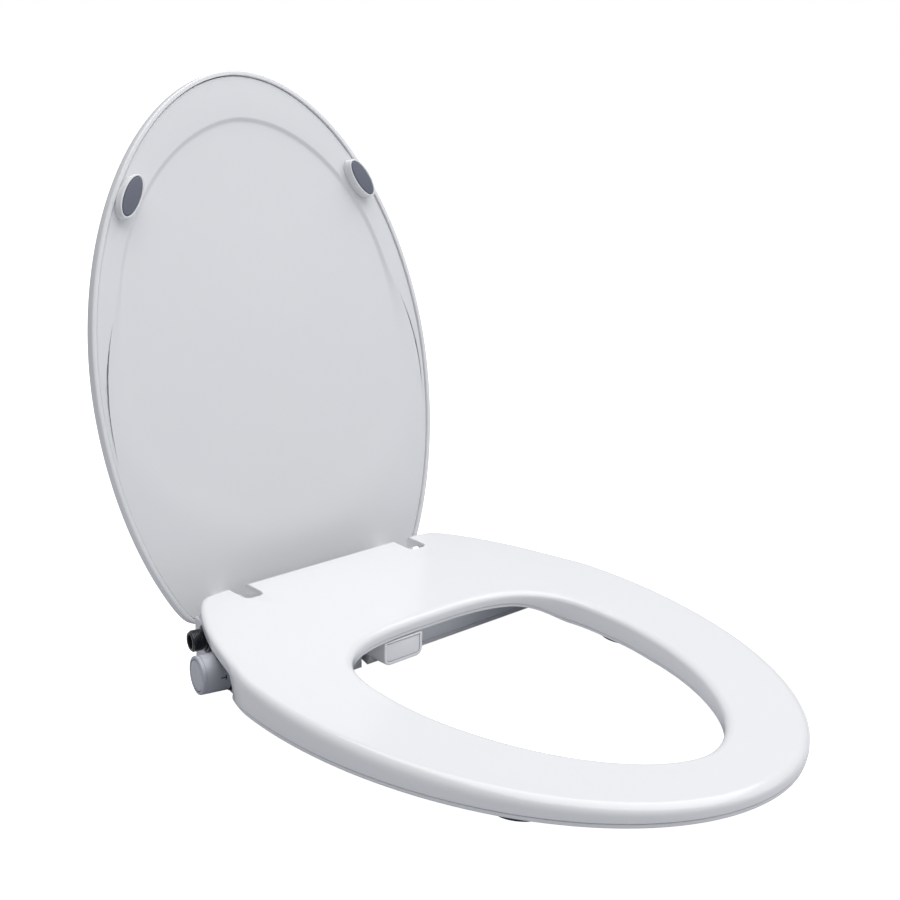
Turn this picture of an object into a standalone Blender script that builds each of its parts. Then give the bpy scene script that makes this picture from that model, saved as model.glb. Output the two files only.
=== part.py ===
"""Water-pressure bidet seat with a raised lid, modelled in metres with +Z up.

The origin is midway between the mounting points, on the face that rests on the toilet bowl.
+X is to the right as seen from the front, +Y runs back towards the hinge side.
"""
import bmesh
import bpy
from math import atan2, cos, pi, radians, sin, sqrt, tan
from mathutils import Matrix, Vector

# Clearance between touching pieces
GAP = 0.0003

# Seat ring and deck
RING_HALF_WIDTH = 0.186
RING_FRONT = 0.2720
RING_REAR = 0.264
RING_CENTRE_Y = -0.182
DECK_REAR_Y = 0.010
SEAT_TOP_Z = 0.048
SEAT_SLOPE = tan(radians(2.3))
SEAT_WALL = 0.0036
SEAT_PLATE = 0.0055
SKIRT_LOW_Z = 0.020
DECK_SKIRT = 0.0095
RELIEF_FRONT_Y = -0.100
RELIEF_REAR_Y = -0.082
STATIONS = 56

# Opening in the ring
HOLE_CENTRE_Y = -0.2185
HOLE_HALF_WIDTH = 0.113
HOLE_FRONT = 0.1815
HOLE_FRONT_POWER = 1.82
HOLE_REAR = 0.093
INNER_WALL = 0.0215
INNER_WALL_REAR = 0.0125
INNER_SEAM = 0.0035

# Lower shell of the ring
LOWER_SHELL_Z = 0.016
LOWER_SHELL_REAR_Y = -0.101
LOWER_SHELL_REAR_Z = 0.0308
LOWER_SHELL_THICKNESS = 0.003

# Hinge
PIVOT = Vector((0.0, 0.0, 0.028))
HINGE_BOSS = 0.009
HINGE_PIN = 0.0035
HINGE_BORE = 0.0038
LID_ARM_X = (0.0803, 0.0945)
SEAT_ARM_X = (0.1010, 0.1150)
NOTCH_X = (0.0785, 0.0965)
NOTCH_FRONT_Y = -0.0165

# Lid, stated in the closed pose with the hinge axis as its origin
LID_OPEN_ANGLE = radians(-102.2)
LID_HALF_WIDTH = 0.171
LID_FRONT = 0.256
LID_FRONT_POWER = 1.93
LID_REAR = 0.262
LID_REAR_Y = 0.009
LID_RIM_Z = 0.032
LID_BORDER_Z = 0.0335
LID_PAD_Z = 0.0240
LID_OVAL_CENTRE_Y = -0.232
LID_OVAL_HALF_WIDTH = 0.141
LID_OVAL_HALF_LENGTH = 0.166
LID_STATIONS = 48
LID_BUMPER = Vector((0.1165, -0.340, 0.0))
BUMPER_HALF = Vector((0.009, 0.019, 0.0))

# Base that stays on the bowl
BASE_FRONT_Y = -0.103
BASE_REAR_Y = -0.014
FLOOR_REAR_Y = 0.004
BASE_TOP_Z = 0.037
BASE_SPLIT_Z = 0.020
BASE_WALL = 0.0026
PANEL_THICKNESS = 0.003
PANEL_FRONT = Vector((0.154, -0.090, 0.0))
PANEL_REAR = Vector((0.133, 0.0, 0.0))

# Knob, inlet and valve, on the side panel at the sitter's right hand
KNOB_Y = -0.0675
KNOB_Z = 0.0203
KNOB_RADIUS = 0.0148
KNOB_LENGTH = 0.0225
INLET_Y = -0.0235
INLET_Z = 0.0278
INLET_RADIUS = 0.0085
INLET_REACH = 0.0150

# Nozzles and their guard
NOZZLE_X = (-0.0325, -0.0195)
NOZZLE_TIP = Vector((0.0, -0.104, 0.009))
NOZZLE_PITCH = radians(18)
NOZZLE_LENGTH = 0.060
NOZZLE_RADIUS = 0.0045
GUARD_X = -0.026
GUARD_HALF_WIDTH = 0.0195
GUARD_LOW_Z = 0.0105
GUARD_HIGH_Z = 0.0298
GUARD_FACE_Y = -0.1255
GUARD_DEPTH = 0.0255


def clear_scene():
    for item in list(bpy.data.objects):
        bpy.data.objects.remove(item, do_unlink=True)


def material(name, colour, roughness, metallic=0.0):
    made = bpy.data.materials.new(name)
    made.use_nodes = True
    shader = made.node_tree.nodes["Principled BSDF"]
    shader.inputs["Base Color"].default_value = (*colour, 1.0)
    shader.inputs["Roughness"].default_value = roughness
    shader.inputs["Metallic"].default_value = metallic
    return made


def pivot_empty(name, location, turn=0.0):
    empty = bpy.data.objects.new(name, None)
    empty.location = location
    empty.rotation_euler.x = turn
    bpy.context.collection.objects.link(empty)
    return empty


def finish(bm, name, look, pivot=None, local=False):
    """Makes the object; world coordinates are moved into the pivot's frame unless already local."""
    bmesh.ops.recalc_face_normals(bm, faces=bm.faces)
    if bm.calc_volume(signed=True) < 0:
        bmesh.ops.reverse_faces(bm, faces=bm.faces)
    if pivot is not None and not local:
        bmesh.ops.translate(bm, verts=bm.verts, vec=-pivot.location)
    mesh = bpy.data.meshes.new(name)
    bm.to_mesh(mesh)
    bm.free()
    mesh.shade_smooth()
    mesh.set_sharp_from_angle(angle=radians(32))
    made = bpy.data.objects.new(name, mesh)
    bpy.context.collection.objects.link(made)
    made.data.materials.append(look)
    made.parent = pivot
    return made


def smoothstep(low, high, value):
    t = min(1.0, max(0.0, (value - low) / (high - low)))
    return t * t * (3.0 - 2.0 * t)


def add_loop(bm, points):
    verts = [bm.verts.new(p) for p in points]
    return verts, [bm.edges.new((a, b)) for a, b in zip(verts, verts[1:] + verts[:1])]


def extrude_loop(bm, verts, edges, points):
    """Extrudes a loop of edges and moves its new vertices onto the given points."""
    made = bmesh.ops.extrude_edge_only(bm, edges=edges)["geom"]
    fresh = {item for item in made if isinstance(item, bmesh.types.BMVert)}
    moved = []
    for vert, point in zip(verts, points):
        twin = next(e.other_vert(vert) for e in vert.link_edges if e.other_vert(vert) in fresh)
        twin.co = point
        moved.append(twin)
    return moved


def loft(loops, ring=False):
    """Skins loops in turn; a ring closes on itself, anything else is capped at both ends."""
    bm = bmesh.new()
    verts, edges = add_loop(bm, loops[0])
    if not ring:
        bmesh.ops.contextual_create(bm, geom=edges)
    for points in loops[1:] + (loops[:1] if ring else []):
        verts = extrude_loop(bm, verts, edges, points)
        edges = [bm.edges.get(pair) for pair in zip(verts, verts[1:] + verts[:1])]
    if ring:
        bmesh.ops.remove_doubles(bm, verts=bm.verts, dist=1e-6)
    else:
        bmesh.ops.contextual_create(bm, geom=edges)
    return bm


def prism(outline, direction):
    """A flat outline swept along a straight line."""
    bm = bmesh.new()
    face = bm.faces.new([bm.verts.new(p) for p in outline])
    swept = bmesh.ops.extrude_face_region(bm, geom=[face])
    moved = [v for v in swept["geom"] if isinstance(v, bmesh.types.BMVert)]
    bmesh.ops.translate(bm, verts=moved, vec=Vector(direction))
    return bm


def box(low, high, bevel=0.0):
    low, high = Vector(low), Vector(high)
    bm = bmesh.new()
    size = Matrix.Diagonal((*(high - low), 1.0))
    bmesh.ops.create_cube(bm, size=1.0, matrix=Matrix.Translation((low + high) / 2) @ size)
    if bevel:
        bmesh.ops.bevel(bm, geom=bm.edges[:], offset=bevel, segments=1, affect="EDGES", profile=0.5)
    return bm


def axis_matrix(start, direction):
    turn = Vector(direction).to_track_quat("Z", "Y").to_matrix().to_4x4()
    return Matrix.Translation(start) @ turn


def turned(start, direction, profile, segments=32):
    """Spins an open profile of (radius, distance along the axis); a zero radius closes an end."""
    bm = bmesh.new()
    verts = [bm.verts.new((radius, 0.0, along)) for radius, along in profile]
    closed = profile[0][0] > 0.0
    links = zip(verts, verts[1:] + verts[:1]) if closed else zip(verts, verts[1:])
    edges = [bm.edges.new(pair) for pair in links]
    bmesh.ops.spin(bm, geom=verts + edges, cent=(0, 0, 0), axis=(0, 0, 1), angle=2 * pi,
                   steps=segments, use_merge=True)
    bmesh.ops.remove_doubles(bm, verts=bm.verts, dist=1e-6)
    bm.transform(axis_matrix(start, direction))
    return bm


def rod(radius, low, high, chamfer=0.0):
    if chamfer:
        return [(0, low), (radius - chamfer, low), (radius, low + chamfer),
                (radius, high - chamfer), (radius - chamfer, high), (0, high)]
    return [(0, low), (radius, low), (radius, high), (0, high)]


def tube(inner, outer, low, high):
    return [(inner, low), (outer, low), (outer, high), (inner, high)]


def cut(target, bm, name, local=False):
    """Subtracts a closed cutter, which stays in the scene as a hidden guide."""
    cutter = finish(bm, name, target.data.materials[0], target.parent, local)
    cutter.hide_render = True
    cutter.display_type = "WIRE"
    modifier = target.modifiers.new("cut", "BOOLEAN")
    modifier.operation = "DIFFERENCE"
    modifier.solver = "EXACT"
    modifier.object = cutter


def soft_limit(radius, limit, sharpness):
    """The smaller of two radii, rounded where they meet."""
    if limit is None:
        return radius
    return (radius ** -sharpness + limit ** -sharpness) ** (-1.0 / sharpness)


def ellipse_radius(angle, half_x, half_y, power=2.0):
    return (abs(cos(angle) / half_x) ** power + abs(sin(angle) / half_y) ** power) ** (-1.0 / power)


def cut_radius(angle, centre_y, rear_y):
    return (rear_y - centre_y) / sin(angle) if sin(angle) > 0.05 else None


def ring_radius(angle):
    return ellipse_radius(angle, RING_HALF_WIDTH, RING_REAR if sin(angle) > 0 else RING_FRONT)


def deck_radius(angle):
    radius = ring_radius(angle)
    return soft_limit(radius, cut_radius(angle, RING_CENTRE_Y, DECK_REAR_Y), 45.0)


def lower_radius(angle):
    radius = ring_radius(angle)
    return soft_limit(radius, cut_radius(angle, RING_CENTRE_Y, LOWER_SHELL_REAR_Y), 45.0)


def hole_radius(angle):
    if sin(angle) > 0:
        return ellipse_radius(angle, HOLE_HALF_WIDTH, HOLE_REAR, 3.2)
    return ellipse_radius(angle, HOLE_HALF_WIDTH, HOLE_FRONT, HOLE_FRONT_POWER)


def lid_radius(angle):
    reach, power = (LID_REAR, 2.0) if sin(angle) > 0 else (LID_FRONT, LID_FRONT_POWER)
    radius = ellipse_radius(angle, LID_HALF_WIDTH, reach, power)
    return soft_limit(radius, cut_radius(angle, RING_CENTRE_Y, LID_REAR_Y), 40.0)


def oval_radius(angle):
    return ellipse_radius(angle, LID_OVAL_HALF_WIDTH, LID_OVAL_HALF_LENGTH)


def offset_point(radius_of, centre_y, angle, inset):
    """The outline's point at this angle, moved inwards by about inset across the edge."""
    step = 1e-4
    radius = radius_of(angle)
    lean = (radius_of(angle + step) - radius_of(angle - step)) / (2 * step * radius)
    reach = radius - inset * sqrt(1.0 + lean * lean)
    return Vector((reach * cos(angle), centre_y + reach * sin(angle), 0.0))


def station_angles(count):
    return [2 * pi * (k + 0.5) / count for k in range(count)]


def seat_top(y):
    return SEAT_TOP_Z + y * SEAT_SLOPE


def skirt_low(y):
    relief = smoothstep(RELIEF_FRONT_Y, RELIEF_REAR_Y, y)
    return SKIRT_LOW_Z + relief * (seat_top(y) - DECK_SKIRT - SKIRT_LOW_Z)


def inner_low(y):
    near_rear = smoothstep(-0.175, -0.133, y)
    return max(seat_top(y) - INNER_WALL + near_rear * (INNER_WALL - INNER_WALL_REAR), LOWER_SHELL_Z)


def lower_shell_low(point):
    raised = smoothstep(-0.156, -0.126, point.y) * smoothstep(0.152, 0.130, abs(point.x))
    return LOWER_SHELL_Z + raised * (LOWER_SHELL_REAR_Z - LOWER_SHELL_Z)


def outer_fillet(depth):
    """Height on the outer side, shrunk where the skirt is shallow."""
    def level(point):
        shrink = min(1.0, (seat_top(point.y) - skirt_low(point.y)) / 0.016)
        return seat_top(point.y) - depth * shrink
    return level


def below_top(depth):
    return lambda point: seat_top(point.y) - depth


def above_skirt(height):
    return lambda point: skirt_low(point.y) + height


def above_inner_seam(height):
    return lambda point: inner_low(point.y) + INNER_SEAM + height


def above_inner_low(height):
    return lambda point: inner_low(point.y) + height


def above_lower(height):
    """Height over the underside, kept under the deck plate."""
    return lambda point: min(lower_shell_low(point) + height, seat_top(point.y) - 0.0078)


def ring_loops(section, outer_radius):
    """One loop per section row: (blend from outer to hole edge, inset from that edge, level)."""
    loops = []
    for blend, inset, level in section:
        loop = []
        for angle in station_angles(STATIONS):
            outer = offset_point(outer_radius, RING_CENTRE_Y, angle, inset)
            inner = offset_point(hole_radius, HOLE_CENTRE_Y, angle, -inset)
            point = outer.lerp(inner, blend)
            point.z = level(point)
            loop.append(point)
        loops.append(loop)
    return loops


def seat_top_shell(look, pivot):
    section = [
        (0, 0.0010, above_skirt(0.0)), (0, 0.0, above_skirt(0.0012)),
        (0, 0.0, outer_fillet(0.0125)), (0, 0.0016, outer_fillet(0.0065)),
        (0, 0.0056, outer_fillet(0.0023)), (0, 0.0125, outer_fillet(0.0004)),
        (0.5, 0.0, below_top(0.0)),
        (1, 0.0075, below_top(0.0003)), (1, 0.0028, below_top(0.0018)),
        (1, 0.0006, below_top(0.0045)), (1, 0.0, above_inner_seam(0.0)),
        (1, SEAT_WALL, above_inner_seam(0.0)), (1, SEAT_WALL, below_top(SEAT_PLATE + 0.0010)),
        (1, SEAT_WALL + 0.003, below_top(SEAT_PLATE)),
        (0, SEAT_WALL + 0.006, below_top(SEAT_PLATE)),
        (0, SEAT_WALL, below_top(SEAT_PLATE + 0.0025)), (0, SEAT_WALL + 0.0004, above_skirt(0.0)),
    ]
    shell = finish(loft(ring_loops(section, deck_radius), ring=True), "seat_top_shell", look, pivot)
    for side in (-1, 1):
        cut(shell, notch_outline(side), f"notch_cutter_{side + 1}")


def notch_outline(side):
    """A slot open to the rear with rounded front corners, so that the lid's arm can swing through."""
    radius = 0.006
    centres = [(NOTCH_X[0] + radius, -radius), (NOTCH_X[1] - radius, radius)]
    outline = [Vector((side * NOTCH_X[0], 0.04, 0.0))]
    for centre_x, reach in centres:
        start = pi if reach < 0 else 1.5 * pi
        for k in range(5):
            angle = start + k * pi / 8
            x = centre_x + radius * cos(angle)
            outline.append(Vector((side * x, NOTCH_FRONT_Y + radius + radius * sin(angle), 0.0)))
    outline.append(Vector((side * NOTCH_X[1], 0.04, 0.0)))
    return prism([p + Vector((0, 0, 0.030)) for p in outline], (0, 0, 0.030))


def seat_bottom_shell(look, pivot):
    floor = LOWER_SHELL_THICKNESS
    lip = SKIRT_LOW_Z - LOWER_SHELL_Z - 0.0004
    wall = SEAT_WALL + 0.0012
    section = [
        (0, 0.0024, above_lower(0.0)), (0, 0.0007, above_lower(0.0012)),
        (0, 0.0007, above_lower(lip)), (0, wall, above_lower(lip)),
        (0, wall, above_lower(lip + 0.0045)), (0, wall + 0.0026, above_lower(lip + 0.0045)),
        (0, wall + 0.0030, above_lower(floor)), (0.5, 0.0, above_lower(floor)),
        (1, wall + 0.0030, above_inner_low(0.0026)), (1, wall + 0.0026, above_inner_seam(0.0014)),
        (1, wall, above_inner_seam(0.0014)), (1, wall, above_inner_seam(-0.0004)),
        (1, 0.0006, above_inner_seam(-0.0004)), (1, 0.0006, above_inner_low(0.0010)),
        (1, 0.0020, above_inner_low(0.0)), (0.5, 0.0, above_lower(0.0)),
    ]
    finish(loft(ring_loops(section, lower_radius), ring=True), "seat_bottom_shell", look, pivot)


def oval_points(centre, half_x, half_y, turn, count=20):
    points = []
    for k in range(count):
        angle = 2 * pi * k / count
        x, y = half_x * cos(angle), half_y * sin(angle)
        points.append(Vector((centre.x + x * cos(turn) - y * sin(turn),
                              centre.y + x * sin(turn) + y * cos(turn), centre.z)))
    return points


def seat_bumpers(look, pivot):
    """Four rubber feet under the ring, standing on the bowl."""
    places = {"front_right": (-0.116, -0.338), "front_left": (0.116, -0.338),
              "rear_right": (-0.150, -0.190), "rear_left": (0.150, -0.190)}
    for place, (x, y) in places.items():
        turn = atan2(-x / RING_HALF_WIDTH ** 2, (y - RING_CENTRE_Y) / RING_FRONT ** 2) + pi / 2
        outline = oval_points(Vector((x, y, 0.0)), 0.014, 0.007, turn + pi / 2)
        top = LOWER_SHELL_Z - GAP
        levels = [(0.86, 0.0), (1.0, 0.0015), (1.0, top)]
        centre = Vector((x, y, 0.0))
        loops = [[centre + (p - centre) * size + Vector((0, 0, z)) for p in outline] for size, z in levels]
        finish(loft(loops), f"seat_bumper_{place}", look, pivot)


def hinge_arm(x_range, web_low, web_high, top, local_origin):
    """A round boss on the hinge axis with a web rising to the piece that it carries."""
    outline = []
    for k in range(13):
        angle = pi + k * pi / 12
        outline.append((HINGE_BOSS * cos(angle), HINGE_BOSS * sin(angle)))
    outline += [(web_high + 0.002, top * 0.45), (web_high, top), (web_low, top), (web_low - 0.001, top * 0.45)]
    points = [local_origin + Vector((x_range[0], y, z)) for y, z in outline]
    return prism(points, (x_range[1] - x_range[0], 0, 0))


def bore(origin, radius, low, high):
    return turned(origin, (1, 0, 0), rod(radius, low, high), 16)


def hinge_arms(seat_look, lid_look, seat_pivot, lid_pivot):
    names = {-1: "right", 1: "left"}
    for side, name in names.items():
        span = sorted(side * x for x in SEAT_ARM_X)
        arm = hinge_arm(span, -0.0080, -0.0010, 0.0133, PIVOT)
        made = finish(arm, f"seat_hinge_arm_{name}", seat_look, seat_pivot)
        cut(made, bore(PIVOT, HINGE_BORE, span[0] - 0.002, span[1] + 0.002), f"seat_bore_{name}")
        span = sorted(side * x for x in LID_ARM_X)
        arm = hinge_arm(span, -0.0115, 0.0030, LID_BORDER_Z - 0.0004, Vector())
        made = finish(arm, f"lid_hinge_arm_{name}", lid_look, lid_pivot, local=True)
        cut(made, bore(Vector(), HINGE_BORE, span[0] - 0.002, span[1] + 0.002), f"lid_bore_{name}", local=True)


def lid_loop(inset, z, radius_of=lid_radius, centre_y=RING_CENTRE_Y):
    loop = [offset_point(radius_of, centre_y, angle, inset) for angle in station_angles(LID_STATIONS)]
    for point in loop:
        point.z = z
    return loop


def lid_scaled(size, z):
    centre = Vector((0.0, RING_CENTRE_Y, 0.0))
    loop = [centre + (p - centre) * size for p in lid_loop(0.0, 0.0)]
    return [p + Vector((0, 0, z)) for p in loop]


def lid_outer_shell(look, pivot):
    rim = LID_RIM_Z
    loops = [
        lid_scaled(0.35, rim + 0.0150), lid_scaled(0.75, rim + 0.0140), lid_loop(0.0100, rim + 0.0115),
        lid_loop(0.0045, rim + 0.0085), lid_loop(0.0038, rim), lid_loop(0.0010, rim),
        lid_loop(0.0, rim + 0.0010), lid_loop(0.0, rim + 0.0075), lid_loop(0.0022, rim + 0.0115),
        lid_loop(0.0090, rim + 0.0142), lid_scaled(0.75, rim + 0.0168), lid_scaled(0.35, rim + 0.0180),
    ]
    finish(loft(loops), "lid_outer_shell", look, pivot, local=True)


def lid_inner_panel(look, pivot):
    face = LID_BORDER_Z
    oval = (oval_radius, LID_OVAL_CENTRE_Y)
    loops = [
        lid_loop(0.070, face + 0.0020, *oval), lid_loop(0.007, face + 0.0019, *oval),
        lid_loop(-0.003, face, *oval), lid_loop(0.0050, face), lid_loop(0.0044, face + 0.0006),
        lid_loop(0.0044, face + 0.0024), lid_loop(-0.003, face + 0.0024, *oval),
        lid_loop(0.007, face + 0.0043, *oval), lid_loop(0.070, face + 0.0044, *oval),
    ]
    finish(loft(loops), "lid_inner_panel", look, pivot, local=True)


def lid_bumpers(white, rubber, pivot):
    """An oval cup on each side of the lid with a rubber pad that lands on the seat."""
    normal = Vector((LID_BUMPER.x / LID_HALF_WIDTH ** 2,
                     (LID_BUMPER.y - RING_CENTRE_Y) / LID_FRONT ** 2, 0.0))
    turn = atan2(normal.y, normal.x)
    landing = LID_PAD_Z
    high = LID_BORDER_Z - GAP
    wall = 0.0020
    for side, name in {-1: "right", 1: "left"}.items():
        centre = Vector((side * LID_BUMPER.x, LID_BUMPER.y, 0.0))

        def oval(inset, z):
            points = oval_points(centre, BUMPER_HALF.x - inset, BUMPER_HALF.y - inset, side * turn)
            return [p + Vector((0, 0, z)) for p in points]
        cup = [oval(0.0, high), oval(0.0, landing + 0.0030), oval(0.0006, landing + 0.0022),
               oval(wall - 0.0004, landing + 0.0022), oval(wall, landing + 0.0028), oval(wall, high)]
        finish(loft(cup, ring=True), f"lid_bumper_cup_{name}", white, pivot, local=True)
        pad = [oval(wall + GAP, high - 0.001), oval(wall + GAP, landing + 0.0014),
               oval(wall + 0.0016, landing)]
        finish(loft(pad), f"lid_bumper_pad_{name}", rubber, pivot, local=True)


def panel_x(y):
    slope = (PANEL_REAR.x - PANEL_FRONT.x) / (PANEL_REAR.y - PANEL_FRONT.y)
    return PANEL_FRONT.x + slope * (y - PANEL_FRONT.y)


def base_outline(inset, rear_y, z):
    """Plan of the base: a trapezium that narrows to the rear, with clipped front corners."""
    front = BASE_FRONT_Y + inset
    rear = rear_y - inset
    corner = 0.010
    right = [(panel_x(rear) - inset, rear), (panel_x(front + corner) - inset, front + corner),
             (panel_x(front) - inset - corner, front)]
    left = [(-x, y) for x, y in reversed(right)]
    return [Vector((x, y, z)) for x, y in right + left]


def knob_frame():
    """Outward direction of the side panel and the knob's centre on its outer face."""
    lean = atan2(PANEL_FRONT.x - PANEL_REAR.x, PANEL_REAR.y - PANEL_FRONT.y)
    outward = Vector((-cos(lean), sin(lean), 0.0))
    knob = Vector((-panel_x(KNOB_Y), KNOB_Y, KNOB_Z))
    inlet = Vector((-panel_x(INLET_Y), INLET_Y, INLET_Z))
    return outward, knob, inlet


def nozzle_way_cutter():
    """The opening at the front through which the nozzles slide out and down."""
    return box((GUARD_X - 0.021, BASE_FRONT_Y - 0.01, -0.01), (GUARD_X + 0.021, -0.064, 0.0345))


def plate_pocket_cutter():
    """Room under the base for the plate that is bolted to the bowl."""
    return box((-0.0925, -0.0225, -0.002), (0.0925, 0.010, 0.0068))


def base_shell(name, look, low, high, roof):
    """Walls of the base between two heights; a roof closes the top."""
    inset = PANEL_THICKNESS + 0.0004
    shell = finish(prism(base_outline(inset, BASE_REAR_Y, low), (0, 0, high - low)), name, look)
    wall = inset + BASE_WALL
    inside = prism(base_outline(wall, BASE_REAR_Y, low - 0.001), (0, 0, high - low + 0.002 - roof))
    cut(shell, inside, f"{name}_inside")
    cut(shell, nozzle_way_cutter(), f"{name}_nozzle_way")
    outward, knob, inlet = knob_frame()
    for label, centre in (("valve", knob), ("inlet", inlet)):
        cut(shell, turned(centre, outward, rod(0.0125, -0.030, 0.010), 20), f"{name}_{label}_way")
    return shell


def base_floor(look, rubber):
    low = 0.0022
    plate = prism(base_outline(PANEL_THICKNESS + 0.0004, FLOOR_REAR_Y, low), (0, 0, 0.0032))
    floor = finish(plate, "base_floor_plate", look)
    cut(floor, nozzle_way_cutter(), "floor_nozzle_way")
    cut(floor, plate_pocket_cutter(), "floor_plate_pocket")
    for side, name in {-1: "right", 1: "left"}.items():
        centre = Vector((side * 0.118, -0.045, 0.0))
        pad = prism(oval_points(centre, 0.010, 0.024, 0.0, 16), (0, 0, low - GAP))
        finish(pad, f"base_pad_{name}", rubber)


def mounting_plate(look, steel):
    """The plate that bolts to the bowl, with a round bush in each bolt hole that sets the distance."""
    plate = finish(box((-0.092, -0.022, 0.0), (0.092, 0.0035, 0.0055)), "mounting_plate", look)
    for side, name in {-1: "right", 1: "left"}.items():
        centre = Vector((side * 0.070, -0.0095, 0.0))
        cut(plate, turned(centre, (0, 0, 1), rod(0.0088, -0.002, 0.010), 20), f"bush_hole_{name}")
        bush = turned(centre, (0, 0, 1), tube(0.0036, 0.0084, 0.0003, 0.0058), 20)
        finish(bush, f"adjuster_bush_{name}", steel)


def button_way_cutter():
    """The opening in the side of the base for the release button."""
    return box((0.10, -0.0574, 0.0071), (0.20, -0.0346, 0.0189))


def side_panels(look):
    """Outer skins of the base; the one at the sitter's right hand carries the knob and the inlet."""
    outward, knob, inlet = knob_frame()
    for side, name in {-1: "right", 1: "left"}.items():
        inner = [(panel_x(y) - PANEL_THICKNESS, y) for y in (-0.0925, FLOOR_REAR_Y)]
        outer = [(panel_x(y), y) for y in (FLOOR_REAR_Y, -0.0925)]
        low, high = 0.0008, 0.0352
        outline = [Vector((side * x, y, low)) for x, y in inner + outer]
        panel = finish(prism(outline, (0, 0, high - low)), f"base_side_panel_{name}", look)
        if side < 0:
            cut(panel, turned(knob, outward, rod(0.0060, -0.010, 0.010), 24), "panel_stem_hole")
            cut(panel, turned(inlet, outward, rod(INLET_RADIUS + GAP, -0.010, 0.010), 28), "panel_inlet_hole")
        else:
            cut(panel, button_way_cutter(), "panel_button_hole")


def inlet_pieces(dark, white, steel):
    outward, _, inlet = knob_frame()
    far, radius = INLET_REACH, INLET_RADIUS
    spigot = [(0.0055, -0.020), (radius, -0.020), (radius, -0.0070), (0.0112, -0.0070),
              (0.0112, -0.0034), (radius, -0.0034), (radius, far - 0.0013), (0.0078, far), (0.0055, far)]
    finish(turned(inlet, outward, spigot, 24), "inlet_spigot", dark)
    finish(turned(inlet, outward, tube(0.0092, 0.0112, GAP, 0.0034), 24), "inlet_collar", dark)
    finish(turned(inlet, outward, rod(0.0050, -0.0030, -0.0016), 16), "inlet_filter", steel)
    finish(turned(inlet, outward, tube(0.0060, 0.0110, -0.0240, -0.0204), 20), "inlet_elbow_seat", white)


def valve_and_knob(look, dark, grey, cap_look, pivot):
    outward, knob, _ = knob_frame()
    back = -PANEL_THICKNESS - 0.0008
    body = [(0.0, back - 0.034), (0.0112, back - 0.034), (0.0112, back), (0.0039, back),
            (0.0039, back - 0.014), (0.0, back - 0.014)]
    finish(turned(knob, outward, body, 20), "valve_body", look)
    collar = [(0.0118, GAP), (0.0160, GAP), (0.0160, 0.0030), (0.0152, 0.0040), (0.0118, 0.0040)]
    finish(turned(knob, outward, collar, 28), "knob_collar", dark)
    near, far = 0.0046, 0.0046 + KNOB_LENGTH
    shape = [(0.0, near + 0.018), (0.0038, near + 0.018), (0.0038, near), (KNOB_RADIUS - 0.0006, near),
             (KNOB_RADIUS, near + 0.0006), (KNOB_RADIUS, far - 0.0010), (KNOB_RADIUS - 0.0003, far - 0.0003),
             (KNOB_RADIUS - 0.0010, far), (KNOB_RADIUS - 0.0022, far), (KNOB_RADIUS - 0.0024, far - 0.0012),
             (0.0, far - 0.0012)]
    finish(turned(knob, outward, shape, 28), "knob", grey, pivot)
    cap = rod(KNOB_RADIUS - 0.0030, far - 0.0012 + GAP, far - 0.0002, 0.0002)
    finish(turned(knob, outward, cap, 24), "knob_cap", cap_look, pivot)
    stem = rod(0.0035, back - 0.013, near + 0.0176)
    finish(turned(knob, outward, stem, 20), "valve_stem", look, pivot)


def hinge_hardware(look, steel, dark):
    for side, name in {-1: "right", 1: "left"}.items():
        pin = sorted((side * 0.0630, side * 0.1265))
        finish(bore(PIVOT, HINGE_PIN, *pin), f"hinge_pin_{name}", steel)
        for label, low, high in (("inner", 0.0640, 0.0790), ("outer", 0.1165, 0.1255)):
            span = sorted((side * low, side * high))
            outline = [(HINGE_BOSS * cos(k * pi / 12), HINGE_BOSS * sin(k * pi / 12)) for k in range(13)]
            outline += [(-HINGE_BOSS, -0.0216), (0.0030, -0.0216), (0.0085, -0.0120)]
            points = [PIVOT + Vector((span[0], y, z)) for y, z in outline]
            block = finish(prism(points, (span[1] - span[0], 0, 0)), f"hinge_block_{label}_{name}", look)
            cut(block, bore(PIVOT, HINGE_BORE, span[0] - 0.002, span[1] + 0.002), f"block_bore_{label}_{name}")
        barrel = sorted((side * 0.0440, side * 0.0626))
        finish(turned(PIVOT, (1, 0, 0), rod(0.0078, *barrel, 0.0006), 16), f"soft_close_damper_{name}", dark)


def nozzle_direction():
    return Vector((0.0, -cos(NOZZLE_PITCH), -sin(NOZZLE_PITCH)))


def nozzles(look, tip_look, pivots):
    """Two sliding wands, each with a tip that carries the spray holes on its upper side."""
    direction = nozzle_direction()
    for x, name, pivot in zip(NOZZLE_X, ("rear", "front"), pivots):
        tip = NOZZLE_TIP + Vector((x, 0, 0))
        wand = rod(NOZZLE_RADIUS, -NOZZLE_LENGTH, -0.0083, 0.0004)
        finish(turned(tip, direction, wand, 16), f"{name}_nozzle", look, pivot)
        end = [(0.0, -0.0080), (NOZZLE_RADIUS, -0.0080), (NOZZLE_RADIUS, -0.0020),
               (NOZZLE_RADIUS * 0.8, -0.0006), (NOZZLE_RADIUS * 0.4, 0.0), (0.0, 0.0)]
        finish(turned(tip, direction, end, 16), f"{name}_nozzle_tip", tip_look, pivot)


def nozzle_holder(look):
    """A sloping block inside the nose of the base with one sleeve for each wand."""
    direction = nozzle_direction()
    middle = NOZZLE_TIP + Vector((GUARD_X, 0, 0)) - direction * 0.0150
    block = box((-0.0160, -0.0065, -0.0135), (0.0160, 0.0065, 0.0135))
    block.transform(axis_matrix(middle, direction))
    made = finish(block, "nozzle_holder", look)
    for x, name in zip(NOZZLE_X, ("rear", "front")):
        start = NOZZLE_TIP + Vector((x, 0, 0))
        cutter = turned(start, direction, rod(NOZZLE_RADIUS + 0.0005, -0.045, 0.020), 16)
        cut(made, cutter, f"{name}_sleeve")


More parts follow.
